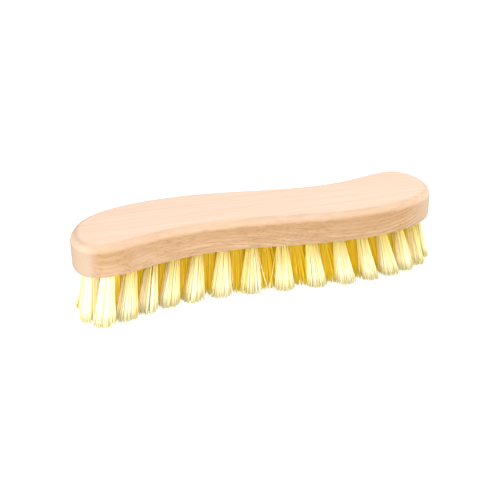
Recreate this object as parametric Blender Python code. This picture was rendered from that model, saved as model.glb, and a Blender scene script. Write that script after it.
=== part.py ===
"""Hand-held floor brush: an S-shaped beech block with staple-set tufts of stiff plastic bristle.

Lengths are metres and +Z is up. The brush stands on its bristle tips, which are at z = 0 under the
middle of the block. The block's long side lies along X, and its two sides match under a half turn.
"""

import math
import random

import bmesh
import bpy
from mathutils import Matrix, Vector

# Block, seen from above: its S and its full ends keep their form when the length changes
BLOCK_LENGTH = 0.220
MIDDLE_HALF_BREADTH = 0.0274
SHOULDER_FILL_SHARE = 0.0564
END_FILL_SHARE = 0.12
SLANT_SHARE = 0.0614
SWEEP_SHARE = 0.0532
OUTLINE_POINTS = 128

# Block, seen from the side
BLOCK_THICKNESS = 0.0165
TOP_EDGE_RADIUS = 0.0047
TOP_EDGE_STEPS = 5
UNDER_EDGE_CHAMFER = 0.0005
SHARP_ANGLE = math.radians(30)

# Drilled holes
HOLE_DIAMETER = 0.0064
HOLE_DEPTH = 0.011
HOLE_SIDES = 10
HOLE_INSET = 0.0088
HOLE_OVERRUN = 0.002

# Where the tufts stand: steps are counted from the middle of each row
OUTER_TUFTS_A_SIDE = 17
INNER_TUFTS_A_ROW = 12
MIDDLE_TUFTS = 13
MIDDLE_SPREAD_SHARE = 0.0636
SPREAD_STEPS = 3
INNER_SHIFT_SHARE = 0.0164
INNER_SHIFT_STEPS = 1

# How the tufts lean outward, less again at the ends
END_LEAN = math.radians(11)
SIDE_LEAN = math.radians(7)
LEAN_REACH = 0.040
END_LEAN_LOSS = 0.5

# Tufts
TRIM_LENGTH = 0.0275
FIT_GAP = 0.0003
ANCHOR_THICKNESS = 0.0006
ROOT_SIDES = 6
CORE_RADIUS_SHARE = 0.40
STRAND_GAP = 0.0002
TIP_RADIUS = 0.0060
TIP_ROOM_SHARE = 0.48
STRAND_SPREAD_SHARE = 0.84
TURN_SEED = 11

# Slice of the block's wood that the middle row is fused to
SLICE_WIDTH = 0.003
SLICE_THICKNESS = 0.0015
SLICE_RECESS = 0.0008
SLICE_STEPS = 24


def clear_scene():
    for obj in list(bpy.data.objects):
        bpy.data.objects.remove(obj, do_unlink=True)


# Materials


def plain_material(name, colour, roughness):
    material = bpy.data.materials.new(name)
    material.use_nodes = True
    shader = material.node_tree.nodes["Principled BSDF"]
    shader.inputs["Base Color"].default_value = (*colour, 1.0)
    shader.inputs["Roughness"].default_value = roughness
    material.diffuse_color = (*colour, 1.0)
    return material


def beech():
    return plain_material("beech", (0.83, 0.62, 0.42), 0.6)


def bristle_plastic():
    return plain_material("bristle_plastic", (0.93, 0.84, 0.36), 0.35)


# Plan of the block


def centre_line(x):
    """How far the middle of the block stands off the X axis at x: a slanted line with one full wave."""
    along = x / (BLOCK_LENGTH / 2)
    return BLOCK_LENGTH * (SLANT_SHARE * along - SWEEP_SHARE * math.sin(math.pi * along))


def outline():
    """Points round the block from its -X end, the -Y side first, counter-clockwise from above."""
    points = []
    for k in range(OUTLINE_POINTS):
        turn = 2 * math.pi * k / OUTLINE_POINTS
        along = -math.cos(turn)
        fill = BLOCK_LENGTH * (SHOULDER_FILL_SHARE * along**2 + END_FILL_SHARE * along**4)
        x = along * BLOCK_LENGTH / 2
        points.append(Vector((x, centre_line(x) - (MIDDLE_HALF_BREADTH + fill) * math.sin(turn))))
    return points


def inward(points, distance):
    """The same closed line moved inward by a distance, square to itself."""
    moved = []
    for k, point in enumerate(points):
        along = (points[(k + 1) % len(points)] - points[k - 1]).normalized()
        moved.append(point + distance * Vector((-along.y, along.x)))
    return moved


# Block


def block_levels():
    """(inset, height above the underside) of each ring of the block, from below to the top face."""
    levels = [(UNDER_EDGE_CHAMFER, 0), (0, UNDER_EDGE_CHAMFER)]
    shoulder = BLOCK_THICKNESS - TOP_EDGE_RADIUS
    for k in range(TOP_EDGE_STEPS + 1):
        turn = math.pi / 2 * k / TOP_EDGE_STEPS
        inset = TOP_EDGE_RADIUS * (1 - math.cos(turn))
        levels.append((inset, shoulder + TOP_EDGE_RADIUS * math.sin(turn)))
    return levels


def block_mesh():
    shape = bmesh.new()
    sides = outline()
    rings = []
    for inset, height in block_levels():
        ring = [shape.verts.new((p.x, p.y, height)) for p in inward(sides, inset)]
        rings.append(ring)
    for lower, upper in zip(rings, rings[1:]):
        for k in range(len(lower)):
            following = (k + 1) % len(lower)
            shape.faces.new((lower[k], lower[following], upper[following], upper[k]))
    shape.faces.new(reversed(rings[0]))
    shape.faces.new(rings[-1])
    for face in shape.faces:
        face.smooth = True
    mesh = finished_mesh(shape, "brush_block")
    mesh.set_sharp_from_angle(angle=SHARP_ANGLE)
    return mesh


def make_block(parent, wood, cutters):
    block = placed(block_mesh(), "brush_block", parent, [wood])
    block.location.z = TRIM_LENGTH
    for cutter in cutters:
        cut(block, cutter)


# Places and leans of the tufts


def steps_along(step, pitch):
    """Distance of a step from the middle of its row: the steps are longer in the middle of the brush."""
    return pitch * step + extra_room(step)


def extra_room(step):
    return BLOCK_LENGTH * MIDDLE_SPREAD_SHARE * math.tanh(step / SPREAD_STEPS)


def ring_lengths(ring):
    """Distance round the ring to each of its points, from the first, and all the way round."""
    lengths = [0]
    for k, point in enumerate(ring):
        lengths.append(lengths[-1] + (ring[(k + 1) % len(ring)] - point).length)
    return lengths


def point_on_ring(ring, lengths, distance):
    distance %= lengths[-1]
    k = max(i for i in range(len(ring)) if lengths[i] <= distance)
    share = (distance - lengths[k]) / (lengths[k + 1] - lengths[k])
    return ring[k].lerp(ring[(k + 1) % len(ring)], share)


def outer_places(ring, lengths, pitch):
    """The outer ring of tufts: the -Y side, then the same places after a half turn."""
    middle = lengths[len(ring) // 4]
    last = (OUTER_TUFTS_A_SIDE - 1) / 2
    steps = [k - last for k in range(OUTER_TUFTS_A_SIDE)]
    front = [point_on_ring(ring, lengths, middle + steps_along(step, pitch)) for step in steps]
    return front + [-place for place in front]


def end_pitch(lengths):
    """Step between outer tufts near the ends, so that the two sides' rows meet evenly there."""
    steps = OUTER_TUFTS_A_SIDE / 2
    return (lengths[-1] / 4 - extra_room(steps)) / steps


def row_places(first_step, count, pitch, shift, offset):
    """One row of tufts at a fixed offset from the centre line."""
    places = []
    for k in range(count):
        x = steps_along(first_step + k, pitch) + shift
        places.append(Vector((x, centre_line(x) + offset)))
    return places


def row_pitch():
    """Distance between two neighbouring rows: the outer, inner and middle rows lie evenly."""
    return (MIDDLE_HALF_BREADTH - HOLE_INSET) / 2


def tuft_rows():
    """Names of the rows with the places of their tufts, on the block's underside."""
    ring = inward(outline(), HOLE_INSET)
    lengths = ring_lengths(ring)
    pitch = end_pitch(lengths)
    first_inner = (1 - INNER_TUFTS_A_ROW) / 2 - INNER_SHIFT_STEPS
    first_middle = (1 - MIDDLE_TUFTS) / 2
    shift = BLOCK_LENGTH * INNER_SHIFT_SHARE
    front = row_places(first_inner, INNER_TUFTS_A_ROW, pitch, shift, -row_pitch())
    return {
        "outer": outer_places(ring, lengths, pitch),
        "front_inner": front,
        "back_inner": [-place for place in front],
        "middle": row_places(first_middle, MIDDLE_TUFTS, pitch, 0, 0),
    }


def drift(place):
    """How far a tuft at this place leans along X and Y for each unit that it reaches down."""
    along = place.x / (BLOCK_LENGTH / 2)
    across = place.y - centre_line(place.x)
    ease = 1 - END_LEAN_LOSS * along**4
    toward_end = math.tan(END_LEAN) * math.tanh(place.x / LEAN_REACH) * ease
    toward_side = math.tan(SIDE_LEAN) * math.tanh(across / row_pitch())
    return Vector((toward_end, toward_side))


def leaning(place):
    """Matrix that puts a tuft's mouth at its place and turns its bristles outward."""
    bristles = Vector((*drift(place), -1))
    turn = Vector((0, 0, -1)).rotation_difference(bristles)
    return Matrix.Translation((place.x, place.y, TRIM_LENGTH)) @ turn.to_matrix().to_4x4()


def tip_radius(place, places):
    """How wide a tuft opens at its tips: less where a neighbour leaves it little room."""
    feet = [other + drift(other) * TRIM_LENGTH for other in places if other is not place]
    room = min((place + drift(place) * TRIM_LENGTH - foot).length for foot in feet)
    return min(TIP_RADIUS, TIP_ROOM_SHARE * room)


# Holes and slot


def hole_cutter(places):
    """One cutter with a blind hole for each tuft."""
    shape = bmesh.new()
    height = HOLE_DEPTH + HOLE_OVERRUN
    radius = HOLE_DIAMETER / 2 / math.cos(math.pi / HOLE_SIDES)
    lift = Matrix.Translation((0, 0, height / 2 - HOLE_OVERRUN))
    for place in places:
        bmesh.ops.create_cone(
            shape,
            cap_ends=True,
            segments=HOLE_SIDES,
            radius1=radius,
            radius2=radius,
            depth=height,
            matrix=leaning(place) @ lift,
        )
    return helper(finished_mesh(shape, "holes"), "holes")


def slot_cutter(places):
    """The slot under the block that holds the middle row's slice."""
    top = SLICE_RECESS + SLICE_THICKNESS + FIT_GAP
    mesh = ribbon_mesh("slot", places, SLICE_WIDTH + 2 * FIT_GAP, -HOLE_OVERRUN, top)
    cutter = helper(mesh, "slot")
    cutter.location.z = TRIM_LENGTH
    return cutter


def ribbon_mesh(name, places, width, bottom, top):
    """A strip along the centre line between the first and the last place, heights from the underside."""
    shape = bmesh.new()
    start = places[0].x
    span = places[-1].x - start
    rings = []
    for k in range(SLICE_STEPS + 1):
        x = start + span * k / SLICE_STEPS
        y = centre_line(x)
        corners = [(-width / 2, bottom), (width / 2, bottom), (width / 2, top), (-width / 2, top)]
        rings.append([shape.verts.new((x, y + across, z)) for across, z in corners])
    for near, far in zip(rings, rings[1:]):
        for k in range(4):
            following = (k + 1) % 4
            shape.faces.new((near[k], far[k], far[following], near[following]))
    shape.faces.new(rings[0])
    shape.faces.new(reversed(rings[-1]))
    return finished_mesh(shape, name)


# Tufts


def root_rings():
    """Corners of the root's mouth and of the small triangle in its middle, in the tuft's own frame."""
    radius = HOLE_DIAMETER / 2 - FIT_GAP
    rim = [polar(radius, k / ROOT_SIDES) for k in range(ROOT_SIDES)]
    core = [polar(radius * CORE_RADIUS_SHARE, (2 * k + 1) / ROOT_SIDES) for k in range(ROOT_SIDES // 2)]
    return rim, core


def polar(radius, share_of_turn):
    angle = 2 * math.pi * share_of_turn
    return Vector((radius * math.cos(angle), radius * math.sin(angle), 0))


def add_mouth(shape, rim, core):
    """The root's lower face as triangles. Returns the ones that grow a strand."""
    strands = [shape.faces.new(reversed(core))]
    for k in range(len(core)):
        tip, before, after = core[k], rim[2 * k], rim[(2 * k + 2) % ROOT_SIDES]
        outer = rim[2 * k + 1]
        strands.append(shape.faces.new((outer, before, tip)))
        strands.append(shape.faces.new((after, outer, tip)))
        shape.faces.new((after, tip, core[(k + 1) % len(core)]))
    return strands


def add_root(shape, rim):
    """The folded bundle in the hole, with the flat anchor wire across its top."""
    top_height = HOLE_DEPTH - FIT_GAP - ANCHOR_THICKNESS
    top = [shape.verts.new(corner.co + Vector((0, 0, top_height))) for corner in rim]
    for k in range(ROOT_SIDES):
        following = (k + 1) % ROOT_SIDES
        shape.faces.new((rim[k], rim[following], top[following], top[k]))
    shape.faces.new((top[1], top[2], top[3]))
    shape.faces.new((top[4], top[5], top[0]))
    wire = shape.faces.new((top[0], top[1], top[3], top[4]))
    raised = bmesh.ops.extrude_discrete_faces(shape, faces=[wire])["faces"][0]
    for corner in raised.verts:
        corner.co.z += ANCHOR_THICKNESS


def grow_strands(shape, faces, matrix, opening_radius):
    """Draws each strand from its root face down to the floor, where it is cut flat."""
    bmesh.ops.inset_individual(shape, faces=faces, thickness=STRAND_GAP, use_even_offset=True)
    grown = bmesh.ops.extrude_discrete_faces(shape, faces=faces)["faces"]
    opening = opening_radius / max(corner.co.length for face in grown for corner in face.verts)
    for face in grown:
        middle = face.calc_center_median()
        for corner in face.verts:
            root = corner.co.copy()
            aim = middle * opening + (root - middle) * opening * STRAND_SPREAD_SHARE
            aim.z = -TRIM_LENGTH
            high = (matrix @ root).z
            low = (matrix @ aim).z
            corner.co = root.lerp(aim, high / (high - low))


def tuft_mesh(name, matrix, opening_radius, turn):
    """One tuft in its own frame: +Z runs up its hole, and its strands open toward the floor."""
    shape = bmesh.new()
    spin = Matrix.Rotation(turn, 3, "Z")
    rim, core = root_rings()
    rim = [shape.verts.new(spin @ corner) for corner in rim]
    core = [shape.verts.new(spin @ corner) for corner in core]
    faces = add_mouth(shape, rim, core)
    add_root(shape, rim)
    grow_strands(shape, faces, matrix, opening_radius)
    return finished_mesh(shape, name)


def make_tuft(name, place, places, turn, parent, plastic):
    matrix = leaning(place)
    mesh = tuft_mesh(name, matrix, tip_radius(place, places), turn)
    obj = placed(mesh, name, parent, [plastic])
    obj.location = matrix.translation
    obj.rotation_euler = matrix.to_euler()


def make_middle_row(parent, places, all_places, turns, wood, plastic):
    """The middle row as one body: its roots are fused to a slice of the block's wood."""
    shape = bmesh.new()
    under = Matrix.Translation((0, 0, -TRIM_LENGTH))
    for place, turn in zip(places, turns):
        matrix = leaning(place)
        mesh = tuft_mesh("middle_tuft", matrix, tip_radius(place, all_places), turn)
        mesh.transform(under @ matrix)
        shape.from_mesh(mesh)
        bpy.data.meshes.remove(mesh)
    tufts = helper(finished_mesh(shape, "middle_tufts"), "middle_tufts")
    tufts.location.z = TRIM_LENGTH
    tufts.data.materials.append(plastic)
    mesh = ribbon_mesh("slice", places, SLICE_WIDTH, SLICE_RECESS, SLICE_RECESS + SLICE_THICKNESS)
    row = placed(mesh, "middle_tuft_row", parent, [wood, plastic])
    row.location.z = TRIM_LENGTH
    join = row.modifiers.new("Tufts", "BOOLEAN")
    join.operation = "UNION"
    join.solver = "EXACT"
    join.material_mode = "TRANSFER"
    join.object = tufts


# Objects


def finished_mesh(shape, name):
    bmesh.ops.recalc_face_normals(shape, faces=shape.faces)
    mesh = bpy.data.meshes.new(name)
    shape.to_mesh(mesh)
    shape.free()
    return mesh


def linked(mesh, name):
    obj = bpy.data.objects.new(name, mesh)
    bpy.context.scene.collection.objects.link(obj)
    return obj


def placed(mesh, name, parent, materials):
    obj = linked(mesh, name)
    obj.parent = parent
    for material in materials:
        obj.data.materials.append(material)
    return obj


def helper(mesh, name):
    """An object that only takes part in a Boolean."""
    obj = linked(mesh, name)
    obj.hide_render = True
    obj.display_type = "WIRE"
    return obj


def cut(obj, cutter):
    modifier = obj.modifiers.new(cutter.name, "BOOLEAN")
    modifier.operation = "DIFFERENCE"
    modifier.solver = "EXACT"
    modifier.object = cutter


def main():
    clear_scene()
    brush = bpy.data.objects.new("floor_brush", None)
    bpy.context.scene.collection.objects.link(brush)
    wood = beech()
    plastic = bristle_plastic()
    rows = tuft_rows()
    places = [place for row in rows.values() for place in row]
    make_block(brush, wood, [hole_cutter(places), slot_cutter(rows["middle"])])
    rng = random.Random(TURN_SEED)
    for row in ("outer", "front_inner", "back_inner"):
        for number, place in enumerate(rows[row], 1):
            turn = rng.uniform(0, 2 * math.pi)
            make_tuft(f"{row}_tuft_{number:02d}", place, places, turn, brush, plastic)
    turns = [rng.uniform(0, 2 * math.pi) for _ in rows["middle"]]
    make_middle_row(brush, rows["middle"], places, turns, wood, plastic)


main()
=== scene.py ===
"""Looks of the floor brush: fine filaments in every tuft, a planed beech block and soft studio light.

Lengths are in metres, with +Z up and the bristle tips at z = 0, as in the loaded model.
"""

import math

import bmesh
import bpy
import numpy as np
from mathutils import Matrix, Vector

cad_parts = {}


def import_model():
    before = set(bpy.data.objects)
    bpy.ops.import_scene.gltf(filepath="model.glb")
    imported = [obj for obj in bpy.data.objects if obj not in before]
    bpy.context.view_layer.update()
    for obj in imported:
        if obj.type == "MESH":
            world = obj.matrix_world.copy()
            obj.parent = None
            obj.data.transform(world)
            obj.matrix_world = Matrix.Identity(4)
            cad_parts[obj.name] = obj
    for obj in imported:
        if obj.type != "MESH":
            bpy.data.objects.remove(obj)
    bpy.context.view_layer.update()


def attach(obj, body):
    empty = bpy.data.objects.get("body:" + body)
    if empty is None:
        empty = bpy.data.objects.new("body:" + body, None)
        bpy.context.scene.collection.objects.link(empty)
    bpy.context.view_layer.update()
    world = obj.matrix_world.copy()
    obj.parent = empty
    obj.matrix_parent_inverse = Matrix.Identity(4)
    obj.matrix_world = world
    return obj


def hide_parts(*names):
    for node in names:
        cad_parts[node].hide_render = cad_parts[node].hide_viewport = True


MM = 0.001
SEED = 7

# Block: the form of the loaded solid in finer steps, a hair inside its box
LENGTH = 220 * MM
SLANT = 13.5 * MM
SWEEP = 11.7 * MM
THICKNESS = 16.5 * MM
TOP_RADIUS = 4.7 * MM
UNDER_CHAMFER = 0.5 * MM
OUTLINE_POINTS = 512
TOP_STEPS = 12
WALL_SHARES = (0.35, 0.7)
BOX_GAP = 0.02 * MM
SHARP_ANGLE = math.radians(35)

# Half the breadth in the middle, then what the 2nd and 4th powers of the way to the ends add to it
HALF_BREADTHS = (27.4 * MM, 12.4 * MM, 26.4 * MM)

# Holes, drilled only as deep as shows past the filaments
HOLE_RADIUS = 3.2 * MM
HOLE_DEPTH = 6 * MM
HOLE_SIDES = 28
DRILL_OVERRUN = 2 * MM

# Places of the tufts, the same as in the loaded model
HOLE_INSET = 8.8 * MM
RING_POINTS = 128
OUTER_A_SIDE = 17
INNER_A_ROW = 12
MIDDLE_COUNT = 13
MIDDLE_SPREAD = 14 * MM
SPREAD_STEPS = 3
INNER_SHIFT = 3.608 * MM
INNER_SHIFT_STEPS = 1

# Lean of the tufts: toward the ends, and sideways in the inner rows, it is more than in the loaded
# model, so that the tips close the gaps
END_LEAN = math.radians(13)
END_LEAN_LOSS = 0.5
LEAN_REACH = 40 * MM
SIDE_LEAN = math.radians(7)
INNER_SIDE_LEAN = math.radians(13)
INNER_REACH = 90 * MM
INNER_PITCHES = 1.5

# Filaments: each one a closed tube
TRIM = 27.5 * MM
ROOT_DEPTH = 2.5 * MM
BUNDLE_RADIUS = 2.9 * MM
FILAMENTS = 250
FILAMENT_RADIUS = 0.17 * MM
FILAMENT_SIDES = 4
FILAMENT_STEPS = 4
GOLDEN_ANGLE = math.radians(137.508)

# One ring of points in the hole, then one above and below each step
FILAMENT_RINGS = FILAMENT_STEPS + 2
FILAMENT_POINTS = FILAMENT_RINGS * FILAMENT_SIDES

# Tips: how far out they may reach along X and Y, and how uneven their heights are
TIP_BOUNDS = np.array([109.4, 32.6]) * MM
TIP_RISE = 0.3 * MM
TIP_UNEVEN = 0.45 * MM
TIP_LIMIT = 2.2 * MM

# Flare of a tuft: widest tip radius, share of the room to its neighbour, and bend of the filaments
OUTER_TIP_RADIUS = 6.1 * MM
OUTER_FLARE = (OUTER_TIP_RADIUS, 0.72, 1.1)
INNER_FLARE = (8 * MM, 0.8, 0.75)

# Differences between tufts and between filaments
FLARE_RANGE = (0.88, 1.04)
ANGLE_RANGE = (-0.25, 0.25)
ROOT_RANGE = (0.93, 1.03)
REACH_SPREAD = 0.08
REACH_LIMITS = (0.7, 1.15)
SIDE_SPREAD = 0.45 * MM
WAVE_SPREAD = 0.1 * MM
TIP_RANGE = (0.4, 1.1)
BEND_RANGE = (0.87, 1.13)
RADIUS_RANGE = (0.85, 1.12)
STRAY_SHARE = 0.012
STRAY_REACH_RANGE = (1.2, 1.7)
STRAY_SIDE = 4

# Shading of the filaments: painted shade in gold inside the brush and toward the outer roots, less of
# it at the -X end as painted light, and a painted glow
CORE_REACH = 72 * MM
AXIS_DEPTH = 0.45
DEPTH_RISE = 0.9
LEAST_GLOW = 0.3
# Painted light: toward the -X end, where the side lamp falls, the filaments get less painted shade
# and more painted glow
PAINTED_LIT_END = -94 * MM
PAINTED_LIT_END_FADE = 5 * MM
LEAST_PAINTED_SHADE = 0.12
ROOT_START = 0.3
ROOT_BEND = 1.25
ROOT_DEPTH_SHARE = 0.7
TIP_SHADE_HEIGHT = 1.6 * MM

# Colours, in linear light
BLACK = (0, 0, 0)
WHITE = (1, 1, 1)
SIDE_PALE = (0.413, 0.282, 0.176)
SIDE_TAN = (0.278, 0.162, 0.075)
SIDE_BROWN = (0.20, 0.10, 0.040)
END_PALE = (0.352, 0.268, 0.199)
END_TAN = (0.26, 0.175, 0.11)
# Painted light: the top is a paler copy of the same beech, as lit more than the sides
LIT_TOP_PALE = (0.694, 0.525, 0.413)
LIT_TOP_TAN = (0.617, 0.439, 0.318)
PLASTIC_DEEP = (0.82, 0.64, 0.19)
PLASTIC_MEAN = (0.85, 0.73, 0.41)
PLASTIC_PALE = (0.91, 0.855, 0.71)
# Painted shade: a deeper gold for the filaments inside the brush, where the shade falls
INSIDE_SHADE_GOLD = (0.70, 0.48, 0.004)
# Painted shade: a darker gold toward the outer tufts' roots, in the block's shade
ROOT_SHADE_GOLD = (0.40, 0.30, 0.02)
TIP_OLIVE = (0.34, 0.30, 0.03)
FLOOR_GREY = (0.3, 0.3, 0.3)

# Coats over the wood's and the plastic's own colour, some of them painted shade: mask, colour and the
# most that it covers
SIDE_COATS = (
    ("late_wood", SIDE_BROWN, 0.7),
    ("streaks", SIDE_TAN, 0.5),
    ("patches", SIDE_TAN, 0.35),
    # Painted shade: the side darker toward its top, under the rounding
    ("painted_shade_upper_side", SIDE_TAN, 0.5),
    ("flecks", SIDE_BROWN, 0.4),
    ("ends", END_PALE, 0.8),
    ("late_wood_of_ends", END_TAN, 0.6),
)
# Painted light: the coats of the paler top
LIT_TOP_COATS = (
    ("streaks", LIT_TOP_TAN, 0.5),
    ("patches", LIT_TOP_TAN, 0.4),
    ("late_wood", LIT_TOP_TAN, 0.25),
)
PLASTIC_COATS = (
    # Painted shade under the block
    ("root", ROOT_SHADE_GOLD, 0.75),
    ("tip", TIP_OLIVE, 0.75),
)

# Grain of the beech: pitch of the growth layers, and how they rise with Y, X and a slow noise
LAYER_PITCH = 2.1 * MM
LAYER_TILT = -0.62
LAYER_RISE = 0.035
LAYER_WANDER = 5 * MM

# Noises: cells a metre along X, Y and Z, and octaves of detail
WANDER_NOISE = ((14, 40, 40), 2)
STRENGTH_NOISE = ((10, 45, 120), 2)
STREAK_NOISE = ((14, 380, 380), 4)
PATCH_NOISE = ((12, 90, 90), 3)
FLECK_NOISE = ((150, 1900, 1900), 1)
FILAMENT_NOISE = ((4000, 4000, 300), 2)

# Ramps: stops of position and grey, or of position and colour for the plastic
PLASTIC_STOPS = ((0, PLASTIC_DEEP), (0.3, PLASTIC_MEAN), (1, PLASTIC_PALE))
LATE_WOOD_STOPS = ((0, 0), (0.5, 0.1), (0.85, 1), (1, 0))
STRENGTH_STOPS = ((0.3, 0.5), (0.55, 1))
ALONG_STOPS = ((0.02, 0.25), (0.25, 0.55), (0.62, 0.5), (0.82, 1))
STREAK_STOPS = ((0.4, 1), (0.6, 0))
PATCH_STOPS = ((0.35, 0), (0.7, 1))
FLECK_STOPS = ((0.54, 0), (0.68, 1))
HEIGHT_STOPS = ((0.1, 0), (0.62, 1))
END_STOPS = ((0.25, 0), (0.62, 1))
# Painted light and shade: from the sides' darker beech across the rounding to the paler top
TOP_LIGHT_STOPS = ((0.1, 0), (0.4, 0.28), (0.72, 0.40), (0.92, 0.52), (0.985, 0.78), (1, 1))

# Surfaces: least and most roughness, strength and depth of the relief, gloss and glow
BEECH_ROUGHNESS = (0.55, 0.8)
BEECH_RELIEF = (0.35, 0.15 * MM)
BEECH_GLOSS = 0.015
BRISTLE_ROUGHNESS = (0.25, 0.45)
BRISTLE_RELIEF = (0.2, 0.03 * MM)
BRISTLE_GLOW = 0.195
FLOOR_ROUGHNESS = 0.9
FLOOR_GLOSS = 0.1
FLOOR_GLOW = 0.85

# Camera: the angle it looks from, and the pixel where the middle of the block's underside lies
AZIMUTH = math.radians(-22.35)
ELEVATION = math.radians(20.5)
DISTANCE = 413.4 * MM
FOCAL_PIXELS = 723
FRAME_PIXELS = 500
TARGET_PIXEL = (265.73, 229.72)
SENSOR_WIDTH = 36
CLIP_START = 10 * MM

# Studio: half the floor's side, and each lamp's place, aim, width and power in watts
FLOOR_REACH = 6
SKY_STRENGTH = 1
LIGHT_BOUNCES = 32
LAMPS = {
    "front": ((-0.115, -0.385, 0.108), (0.01, 0, 0.02), 0.2, 0.81),
    "left": ((-0.42, -0.16, 0.07), (-0.1, 0, 0.015), 0.15, 1.5),
    "right": ((0.75, -0.45, 0.30), (0, 0, 0.02), 0.5, 9.2),
    "back": ((0.15, 0.60, 0.2), (0, 0, 0.02), 0.5, 2),
}


# Plan of the block and places of the tufts


def centre_line(x):
    """Y of the line that both edges of the S follow."""
    way = x / (LENGTH / 2)
    return SLANT * way - SWEEP * np.sin(math.pi * way)


def outline(count):
    """Points round the block from its -X end, the -Y side first."""
    turn = 2 * math.pi * np.arange(count) / count
    way = -np.cos(turn)
    half = HALF_BREADTHS[0] + HALF_BREADTHS[1] * way**2 + HALF_BREADTHS[2] * way**4
    x = way * LENGTH / 2
    return np.column_stack([x, centre_line(x) - half * np.sin(turn)])


def inward(points, distance):
    """The closed outline, moved in by the distance."""
    along = np.roll(points, -1, 0) - np.roll(points, 1, 0)
    along /= np.linalg.norm(along, axis=1)[:, None]
    return points + distance * np.column_stack([-along[:, 1], along[:, 0]])


def row_pitch():
    return (HALF_BREADTHS[0] - HOLE_INSET) / 2


def centred_steps(count):
    return np.arange(count) - (count - 1) / 2


def steps_along(step, pitch):
    """Distance of each step from a row's middle, where the tufts stand wider apart."""
    return pitch * step + MIDDLE_SPREAD * np.tanh(step / SPREAD_STEPS)


def tuft_rows():
    """Root places of every row of tufts on the block's underside."""
    ring = inward(outline(RING_POINTS), HOLE_INSET)
    closed = np.vstack([ring, ring[:1]])
    edges = np.linalg.norm(np.diff(closed, axis=0), axis=1)
    lengths = np.concatenate([[0], np.cumsum(edges)])
    half_steps = OUTER_A_SIDE / 2
    pitch = (lengths[-1] / 4 - MIDDLE_SPREAD * math.tanh(half_steps / SPREAD_STEPS)) / half_steps
    at = lengths[RING_POINTS // 4] + steps_along(centred_steps(OUTER_A_SIDE), pitch)
    outer = np.column_stack([np.interp(at % lengths[-1], lengths, closed[:, k]) for k in (0, 1)])
    inner_x = steps_along(centred_steps(INNER_A_ROW) - INNER_SHIFT_STEPS, pitch) + INNER_SHIFT
    inner = np.column_stack([inner_x, centre_line(inner_x) - row_pitch()])
    middle_x = steps_along(centred_steps(MIDDLE_COUNT), pitch)
    return {
        "outer": np.vstack([outer, -outer]),
        "front_inner": inner,
        "back_inner": -inner,
        "middle": np.column_stack([middle_x, centre_line(middle_x)]),
    }


def drift(place):
    """How far a tuft leans along X and Y for each unit that it reaches down."""
    way = place[0] / (LENGTH / 2)
    across = place[1] - centre_line(place[0])
    ease = 1 - END_LEAN_LOSS * way**4
    toward_end = math.tan(END_LEAN) * math.tanh(place[0] / LEAN_REACH) * ease
    inner = abs(across) < INNER_PITCHES * row_pitch() and abs(place[0]) < INNER_REACH
    side_lean = INNER_SIDE_LEAN if inner else SIDE_LEAN
    toward_side = math.tan(side_lean) * math.tanh(across / row_pitch())
    return np.array([toward_end, toward_side])


# Pieces


def ring_numbers(first, rings, sides):
    """Numbers of the points in each ring, where the points are listed ring by ring."""
    return np.arange(first, first + rings * sides).reshape(rings, sides).tolist()


def new_piece(name, vertices, faces, material, smooth=True):
    mesh = bpy.data.meshes.new(name)
    mesh.from_pydata(vertices, [], faces)
    mesh.polygons.foreach_set("use_smooth", [smooth] * len(mesh.polygons))
    mesh.materials.append(material)
    mesh.update()
    piece = bpy.data.objects.new(name, mesh)
    bpy.context.scene.collection.objects.link(piece)
    return piece


def settle(piece, slot, *nodes):
    """Puts the piece in the place of nodes of the loaded model."""
    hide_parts(*nodes)
    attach(piece, "root")


# Block


def block_rings():
    """Inset and height of each ring round the block, from the underside to the top."""
    shoulder = THICKNESS - TOP_RADIUS
    rings = [(UNDER_CHAMFER, 0), (UNDER_CHAMFER / 3, UNDER_CHAMFER / 3), (0, UNDER_CHAMFER)]
    rings += [(0, shoulder * share) for share in WALL_SHARES]
    for k in range(TOP_STEPS + 1):
        turn = math.pi / 2 * k / TOP_STEPS
        rings.append((TOP_RADIUS * (1 - math.cos(turn)), shoulder + TOP_RADIUS * math.sin(turn)))
    return rings


def block_faces(rings):
    """Faces between the block's rings from the underside up, then its underside and its top."""
    faces = []
    for low, high in zip(rings, rings[1:]):
        for k in range(OUTLINE_POINTS):
            after = (k + 1) % OUTLINE_POINTS
            faces.append((low[k], low[after], high[after], high[k]))
    return [*faces, tuple(reversed(rings[0])), tuple(rings[-1])]


def make_block(places, material):
    sides = outline(OUTLINE_POINTS)
    rings = block_rings()
    vertices = []
    for inset, height in rings:
        ring = inward(sides, inset + BOX_GAP)
        vertices += [(x, y, TRIM + height) for x, y in ring]
    faces = block_faces(ring_numbers(0, len(rings), OUTLINE_POINTS))
    piece = new_piece("beech_block", vertices, faces, material)
    drill(piece, places)
    piece.data.set_sharp_from_angle(angle=SHARP_ANGLE)
    settle(piece, "beech", "brush_block")


def drill_bits(places):
    """One mesh with a cylinder along every hole."""
    shape = bmesh.new()
    lift = Matrix.Translation((0, 0, (HOLE_DEPTH - DRILL_OVERRUN) / 2))
    for place in places:
        lean = Vector((*drift(place), -1))
        turn = Vector((0, 0, -1)).rotation_difference(lean).to_matrix().to_4x4()
        bmesh.ops.create_cone(
            shape,
            cap_ends=True,
            segments=HOLE_SIDES,
            radius1=HOLE_RADIUS,
            radius2=HOLE_RADIUS,
            depth=HOLE_DEPTH + DRILL_OVERRUN,
            matrix=Matrix.Translation((*place, TRIM)) @ turn @ lift,
        )
    mesh = bpy.data.meshes.new("drill")
    shape.to_mesh(mesh)
    shape.free()
    return mesh


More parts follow.
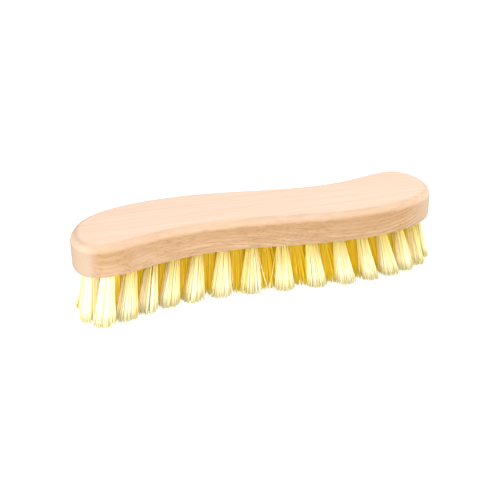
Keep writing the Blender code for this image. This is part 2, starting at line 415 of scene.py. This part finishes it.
def drill(piece, places):
    """Cuts the tufts' holes into the block's underside."""
    cutter = bpy.data.objects.new("drill", drill_bits(places))
    bpy.context.scene.collection.objects.link(cutter)
    cut = piece.modifiers.new("Holes", "BOOLEAN")
    cut.operation = "DIFFERENCE"
    cut.solver = "EXACT"
    cut.object = cutter
    bpy.context.view_layer.update()
    drilled = piece.evaluated_get(bpy.context.evaluated_depsgraph_get())
    mesh = bpy.data.meshes.new_from_object(drilled)
    piece.modifiers.clear()
    piece.data = mesh
    bpy.data.objects.remove(cutter)


# Filaments


def tip_radius(place, places, widest, room_share):
    """Radius of a tuft at its tips: the widest, or its share of the way to the nearest other tuft."""
    feet = np.array([p + drift(p) * TRIM for p in places])
    gaps = np.linalg.norm(feet - (place + drift(place) * TRIM), axis=1)
    return min(widest, room_share * np.sort(gaps)[1])


def tip_heights(reach, rng):
    """Heights at which the filaments end: trimmed, a little higher far out, and never quite even."""
    count = len(reach)
    height = TIP_RISE * (reach / OUTER_TIP_RADIUS) ** 2 + rng.uniform(0, TIP_UNEVEN, count)
    return np.clip(height * rng.uniform(*TIP_RANGE, count), 0, TIP_LIMIT)


def filament_paths(place, opening, bend, rng):
    """Middle of every ring of one tuft's filaments: array (filament, ring, xyz)."""
    count = FILAMENTS
    order = (np.arange(count) + 0.5) / count
    angle = np.arange(count) * GOLDEN_ANGLE + rng.uniform(*ANGLE_RANGE, count)
    radius = BUNDLE_RADIUS * np.sqrt(order) * rng.uniform(*ROOT_RANGE, count)
    out = np.column_stack([np.cos(angle), np.sin(angle)])
    reach = opening * np.sqrt(order) * rng.normal(1, REACH_SPREAD, count).clip(*REACH_LIMITS)
    side = np.column_stack([-out[:, 1], out[:, 0]]) * rng.normal(0, SIDE_SPREAD, count)[:, None]
    stray = rng.random(count) < STRAY_SHARE
    reach[stray] *= rng.uniform(*STRAY_REACH_RANGE, stray.sum())
    side[stray] *= STRAY_SIDE
    tips = tip_heights(reach, rng)
    wave = rng.normal(0, WAVE_SPREAD, (count, 2))
    bend = bend * rng.uniform(*BEND_RANGE, count)
    slope = drift(place)
    paths = np.zeros((count, FILAMENT_RINGS, 3))
    paths[:, 0, :2] = place + out * radius[:, None] - slope * ROOT_DEPTH
    paths[:, 0, 2] = TRIM + ROOT_DEPTH
    for ring, share in enumerate(np.linspace(0, 1, FILAMENT_STEPS + 1), 1):
        drop = share * (TRIM - tips)
        spread = radius + (reach - radius) * share**bend
        middle = math.sin(math.pi * share)
        xy = place + slope * drop[:, None] + out * spread[:, None] + side * share + wave * middle
        paths[:, ring, :2] = np.clip(xy, -TIP_BOUNDS, TIP_BOUNDS)
        paths[:, ring, 2] = TRIM - drop
    return paths


def tube_points(paths, radii):
    """Points of level rings round the paths."""
    turn = 2 * math.pi * np.arange(FILAMENT_SIDES) / FILAMENT_SIDES
    circle = np.column_stack([np.cos(turn), np.sin(turn), np.zeros(FILAMENT_SIDES)])
    points = paths[:, :, None, :] + circle * radii[:, None, None, None]
    return points.reshape(-1, 3)


def tube_faces(rings):
    """Faces between a filament's rings from the root down, then its two ends."""
    faces = []
    for upper, lower in zip(rings, rings[1:]):
        for k in range(FILAMENT_SIDES):
            after = (k + 1) % FILAMENT_SIDES
            faces.append((upper[k], lower[k], lower[after], upper[after]))
    return [*faces, tuple(rings[0]), tuple(reversed(rings[-1]))]


# Tufts


def depths(place, paths, outer):
    """How deep in the brush each filament stands, from 0 on the outside to 1 inside."""
    if not outer:
        return np.ones(len(paths))
    x = float(np.clip(place[0], -CORE_REACH, CORE_REACH))
    inward_way = np.array([x, centre_line(x)]) - place
    inward_way /= np.linalg.norm(inward_way)
    inside = (paths[:, 1, :2] - place) @ inward_way / BUNDLE_RADIUS
    return np.clip(AXIS_DEPTH + DEPTH_RISE * inside, 0, 1)


def painted_shade_share_at(place):
    """Share of the painted shade: 1 over most of the brush, and less at the -X end, where painted
    light from the side lamp makes the plastic paler.
    """
    return float(np.clip((place[0] - PAINTED_LIT_END) / PAINTED_LIT_END_FADE, LEAST_PAINTED_SHADE, 1))


def write_attribute(piece, name, values):
    attribute = piece.data.attributes.new(name, "FLOAT", "POINT")
    attribute.data.foreach_set("value", values.astype(np.float32))


def write_shading(piece, height, shade, depth, painted_shade_share, outer):
    """Writes the values that the plastic's colours follow, one for each point.

    Shade differs between filaments. Depth, the mask of the painted shade in gold, is high inside the
    brush and near the outer tufts' roots, and the painted glow is high inside the brush and at its
    paler, painted-lit -X end. Root, the painted shade under the block, rises toward the block on the
    outer tufts, and tip rises toward the cut ends.
    """
    upper = np.clip((height / TRIM - ROOT_START) / (1 - ROOT_START), 0, 1)
    root = outer * upper**ROOT_BEND * painted_shade_share
    write_attribute(piece, "shade", shade)
    write_attribute(piece, "glow", np.maximum(depth, 1 - (1 - LEAST_GLOW) * painted_shade_share))
    write_attribute(piece, "depth", np.maximum(depth, ROOT_DEPTH_SHARE * root))
    write_attribute(piece, "root", root)
    write_attribute(piece, "tip", np.clip(1 - height / TIP_SHADE_HEIGHT, 0, 1))


def make_tufts(name, node, places, all_places, material, rng):
    """One piece with the filaments of all the tufts that the node has."""
    outer = node.startswith("outer")
    widest, room_share, bend = OUTER_FLARE if outer else INNER_FLARE
    points, shade, depth, painted_shade_share = [], [], [], []
    for place in places:
        opening = tip_radius(place, all_places, widest, room_share) * rng.uniform(*FLARE_RANGE)
        paths = filament_paths(place, opening, bend, rng)
        radii = FILAMENT_RADIUS * rng.uniform(*RADIUS_RANGE, FILAMENTS)
        points.append(tube_points(paths, radii))
        shade.append(rng.random(FILAMENTS))
        # Painted shade in gold, less of it at the painted-lit -X end
        depth.append(painted_shade_share_at(place) * depths(place, paths, outer))
        painted_shade_share.append(np.full(FILAMENTS, painted_shade_share_at(place)))
    vertices = np.vstack(points)
    faces = []
    for first in range(0, len(vertices), FILAMENT_POINTS):
        faces += tube_faces(ring_numbers(first, FILAMENT_RINGS, FILAMENT_SIDES))
    shade, depth, painted_shade_share = (
        np.repeat(np.concatenate(values), FILAMENT_POINTS) for values in (shade, depth, painted_shade_share)
    )
    piece = new_piece(name, vertices, faces, material)
    write_shading(piece, vertices[:, 2], shade, depth, painted_shade_share, outer)
    settle(piece, "bristle_plastic", node)


# Material nodes


def new_material(name):
    material = bpy.data.materials.new(name)
    material.use_nodes = True
    return material


def shader_of(material):
    return material.node_tree.nodes["Principled BSDF"]


def new_node(material, kind):
    return material.node_tree.nodes.new(kind)


def link(material, source, target):
    material.node_tree.links.new(source, target)


def feed(material, value, socket):
    """Sets a socket to a number or a colour, or links another node's output to it."""
    if isinstance(value, (int, float)):
        socket.default_value = value
    elif isinstance(value, tuple):
        socket.default_value = (*value, 1)
    else:
        link(material, value, socket)


def object_place(material):
    return new_node(material, "ShaderNodeTexCoord").outputs["Object"]


def surface_normal(material):
    return new_node(material, "ShaderNodeNewGeometry").outputs["Normal"]


def split(material, vector):
    """The X, Y and Z of a vector."""
    node = new_node(material, "ShaderNodeSeparateXYZ")
    link(material, vector, node.inputs[0])
    return list(node.outputs)


def value_of(material, name):
    """An attribute that the piece's points carry."""
    node = new_node(material, "ShaderNodeAttribute")
    node.attribute_name = name
    return node.outputs["Fac"]


def calculate(material, operation, first, second=0):
    node = new_node(material, "ShaderNodeMath")
    node.operation = operation
    feed(material, first, node.inputs[0])
    feed(material, second, node.inputs[1])
    return node.outputs[0]


def noise(material, place, cells_and_detail):
    cells, detail = cells_and_detail
    stretch = new_node(material, "ShaderNodeMapping")
    stretch.inputs["Scale"].default_value = cells
    link(material, place, stretch.inputs["Vector"])
    node = new_node(material, "ShaderNodeTexNoise")
    node.inputs["Scale"].default_value = 1
    node.inputs["Detail"].default_value = detail
    link(material, stretch.outputs[0], node.inputs["Vector"])
    return node.outputs[0]


def colour_ramp(material, source, stops):
    node = new_node(material, "ShaderNodeValToRGB")
    elements = node.color_ramp.elements
    while len(elements) < len(stops):
        elements.new(0.5)
    for element, (position, colour) in zip(elements, stops):
        element.position = position
        element.color = (*colour, 1)
    link(material, source, node.inputs[0])
    return node.outputs[0]


def grey_ramp(material, source, stops):
    return colour_ramp(material, source, [(position, (grey,) * 3) for position, grey in stops])


def mix(material, first, second, mask, amount=1):
    """First colour where the mask is dark, second where it is light, by at most the amount."""
    node = new_node(material, "ShaderNodeMix")
    node.data_type = "RGBA"
    link(material, calculate(material, "MULTIPLY", mask, amount), node.inputs["Factor"])
    feed(material, first, node.inputs[6])
    feed(material, second, node.inputs[7])
    return node.outputs[2]


def coated(material, colour, coats, masks):
    """The colour under its coats, each where the mask of its name is light."""
    for name, coat, amount in coats:
        colour = mix(material, colour, coat, masks[name], amount)
    return colour


def roughen(material, grain, roughness, relief):
    """Gives the surface its roughness and relief, both after the grain."""
    rough = new_node(material, "ShaderNodeMapRange")
    rough.inputs["To Min"].default_value = roughness[0]
    rough.inputs["To Max"].default_value = roughness[1]
    link(material, grain, rough.inputs["Value"])
    link(material, rough.outputs[0], shader_of(material).inputs["Roughness"])
    bump = new_node(material, "ShaderNodeBump")
    bump.inputs["Strength"].default_value = relief[0]
    bump.inputs["Distance"].default_value = relief[1]
    link(material, grain, bump.inputs["Height"])
    link(material, bump.outputs[0], shader_of(material).inputs["Normal"])


# Beech


def growth_layers(material, place):
    """Mask of the late wood in layers that tilt across the board, clearest toward its +X end."""
    x, y, z = split(material, place)
    wander = noise(material, place, WANDER_NOISE)
    layer = z
    for source, rise in ((y, LAYER_TILT), (x, LAYER_RISE), (wander, LAYER_WANDER)):
        layer = calculate(material, "ADD", layer, calculate(material, "MULTIPLY", source, rise))
    layer = calculate(material, "MULTIPLY", layer, 1 / LAYER_PITCH)
    late = grey_ramp(material, calculate(material, "FRACT", layer), LATE_WOOD_STOPS)
    strength = grey_ramp(material, noise(material, place, STRENGTH_NOISE), STRENGTH_STOPS)
    late = calculate(material, "MULTIPLY", late, strength)
    along = calculate(material, "ADD", calculate(material, "MULTIPLY", x, 1 / LENGTH), 0.5)
    return calculate(material, "MULTIPLY", late, grey_ramp(material, along, ALONG_STOPS))


def wood_masks(material, place, grain, normal_x):
    """Masks of the beech's coats, by name."""
    height = calculate(material, "SUBTRACT", split(material, place)[2], TRIM)
    height = calculate(material, "MULTIPLY", height, 1 / THICKNESS)
    late_wood = growth_layers(material, place)
    ends = grey_ramp(material, calculate(material, "ABSOLUTE", normal_x), END_STOPS)
    return {
        "late_wood": late_wood,
        "streaks": grey_ramp(material, grain, STREAK_STOPS),
        "patches": grey_ramp(material, noise(material, place, PATCH_NOISE), PATCH_STOPS),
        # Painted shade toward the top of the side
        "painted_shade_upper_side": grey_ramp(material, height, HEIGHT_STOPS),
        "flecks": grey_ramp(material, noise(material, place, FLECK_NOISE), FLECK_STOPS),
        "ends": ends,
        "late_wood_of_ends": calculate(material, "MULTIPLY", late_wood, ends),
    }


def beech():
    """Planed beech: streaked sides with painted shade toward their top, greyer ends, and a top
    painted paler as painted light, shading into the sides across the rounding.
    """
    material = new_material("beech_planed")
    shader = shader_of(material)
    place = object_place(material)
    grain = noise(material, place, STREAK_NOISE)
    normal_x, _, normal_z = split(material, surface_normal(material))
    masks = wood_masks(material, place, grain, normal_x)
    sides = coated(material, SIDE_PALE, SIDE_COATS, masks)
    top = coated(material, LIT_TOP_PALE, LIT_TOP_COATS, masks)
    # Painted light: the paler top, faded into the sides across the rounding by how far the surface
    # faces up
    colour = mix(material, sides, top, grey_ramp(material, normal_z, TOP_LIGHT_STOPS))
    link(material, colour, shader.inputs["Base Color"])
    shader.inputs["Specular IOR Level"].default_value = BEECH_GLOSS
    roughen(material, grain, BEECH_ROUGHNESS, BEECH_RELIEF)
    return material


# Bristle plastic


def bristle():
    """Pale plastic, with painted shade in gold inside the brush and toward its roots, olive at the
    cut tips.

    A faint glow in the filament's own colour stands for the light that passes through the plastic.
    """
    material = new_material("bristle_filament")
    shader = shader_of(material)
    masks = {name: value_of(material, name) for name in ("shade", "depth", "glow", "root", "tip")}
    colour = colour_ramp(material, masks["shade"], PLASTIC_STOPS)
    # Painted shade: deeper gold where a filament stands inside the brush
    colour = mix(material, colour, INSIDE_SHADE_GOLD, masks["depth"])
    # Painted light: a glow in the filament's own colour
    glow = mix(material, BLACK, colour, masks["glow"])
    # Painted shade toward the outer tufts' roots, then olive at the cut tips
    colour = coated(material, colour, PLASTIC_COATS, masks)
    link(material, colour, shader.inputs["Base Color"])
    link(material, glow, shader.inputs["Emission Color"])
    shader.inputs["Emission Strength"].default_value = BRISTLE_GLOW
    grain = noise(material, object_place(material), FILAMENT_NOISE)
    roughen(material, grain, BRISTLE_ROUGHNESS, BRISTLE_RELIEF)
    return material


# Studio


def floor_paint():
    material = new_material("studio_floor")
    shader = shader_of(material)
    shader.inputs["Base Color"].default_value = (*FLOOR_GREY, 1)
    shader.inputs["Roughness"].default_value = FLOOR_ROUGHNESS
    shader.inputs["Specular IOR Level"].default_value = FLOOR_GLOSS
    shader.inputs["Emission Color"].default_value = (*WHITE, 1)
    shader.inputs["Emission Strength"].default_value = FLOOR_GLOW
    return material


def make_floor():
    side = FLOOR_REACH
    corners = [(-side, -side, 0), (side, -side, 0), (side, side, 0), (-side, side, 0)]
    floor = new_piece("studio_floor_plane", corners, [(0, 1, 2, 3)], floor_paint(), smooth=False)


def make_camera():
    ahead = math.cos(ELEVATION)
    back = Vector((math.sin(AZIMUTH) * ahead, -math.cos(AZIMUTH) * ahead, math.sin(ELEVATION)))
    right = Vector((math.cos(AZIMUTH), math.sin(AZIMUTH), 0))
    matrix = Matrix((right, back.cross(right), back)).transposed().to_4x4()
    matrix.translation = Vector((0, 0, TRIM)) + back * DISTANCE
    data = bpy.data.cameras.new("camera")
    data.sensor_width = SENSOR_WIDTH
    data.lens = FOCAL_PIXELS / FRAME_PIXELS * SENSOR_WIDTH
    data.shift_x = (FRAME_PIXELS / 2 - TARGET_PIXEL[0]) / FRAME_PIXELS
    data.shift_y = (TARGET_PIXEL[1] - FRAME_PIXELS / 2) / FRAME_PIXELS
    data.clip_start = CLIP_START
    camera = bpy.data.objects.new("camera", data)
    camera.matrix_world = matrix
    bpy.context.scene.collection.objects.link(camera)
    bpy.context.scene.camera = camera


def make_lamp(name, place, aim, width, power):
    """A round lamp that shines on its aim and isn't seen itself."""
    data = bpy.data.lights.new(name, "AREA")
    data.shape = "DISK"
    data.size = width
    data.energy = power
    lamp = bpy.data.objects.new(name, data)
    lamp.visible_camera = False
    lamp.location = place
    lamp.rotation_euler = (Vector(aim) - Vector(place)).to_track_quat("-Z", "Y").to_euler()
    bpy.context.scene.collection.objects.link(lamp)


def make_studio():
    make_floor()
    world = bpy.data.worlds.new("studio")
    world.use_nodes = True
    sky = world.node_tree.nodes["Background"]
    sky.inputs["Color"].default_value = (*WHITE, 1)
    sky.inputs["Strength"].default_value = SKY_STRENGTH
    scene = bpy.context.scene
    scene.world = world
    for name, (place, aim, width, power) in LAMPS.items():
        make_lamp(name, place, aim, width, power)
    scene.view_settings.view_transform = "Standard"
    scene.cycles.max_bounces = LIGHT_BOUNCES
    scene.cycles.diffuse_bounces = LIGHT_BOUNCES


def make_bristles(rows, places):
    rng = np.random.default_rng(SEED)
    plastic = bristle()
    for row in ("outer", "front_inner", "back_inner"):
        for number, place in enumerate(rows[row], 1):
            name = f"{row}_filaments_{number:02d}"
            make_tufts(name, f"{row}_tuft_{number:02d}", [place], places, plastic, rng)
    make_tufts("middle_filaments", "middle_tuft_row", rows["middle"], places, plastic, rng)


def main():
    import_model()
    make_camera()
    make_studio()
    rows = tuft_rows()
    places = np.vstack(list(rows.values()))
    make_block(places, beech())
    make_bristles(rows, places)


main()
